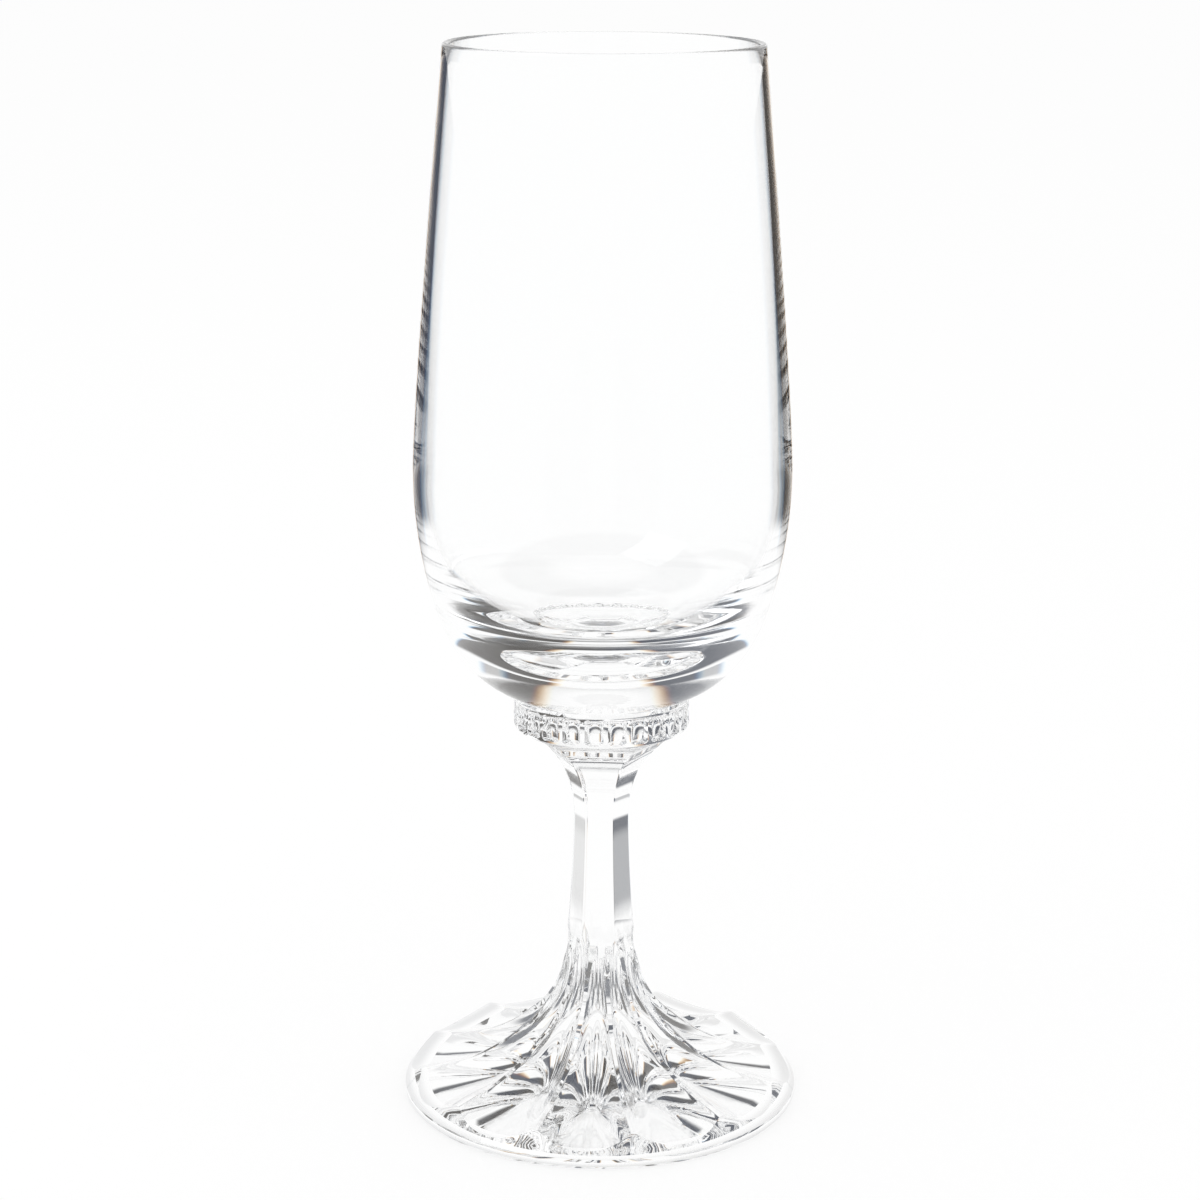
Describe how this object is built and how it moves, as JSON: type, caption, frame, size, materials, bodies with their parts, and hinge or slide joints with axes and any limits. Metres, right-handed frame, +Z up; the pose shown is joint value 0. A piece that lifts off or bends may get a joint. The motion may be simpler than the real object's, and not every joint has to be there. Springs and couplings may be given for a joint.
{
  "type": "sherry glass",
  "caption": "Clear crystal sherry glass: tall tulip bowl on a fluted collar, waisted panelled stem and a spreading foot of hollow flutes.",
  "frame": {"origin": "on the table under the middle of the foot", "axes": "+Z up the glass's axis to the rim, -Y to the front, where a stem panel and a foot flute face"},
  "size_m": [0.0623, 0.0622, 0.165],
  "materials": {
    "clear_crystal": "fire-polished clear crystal"
  },
  "bodies": {
    "root": {"bowl": "clear_crystal", "collar": "clear_crystal", "stem": "clear_crystal", "foot": "clear_crystal"}
  },
  "joints": []
}
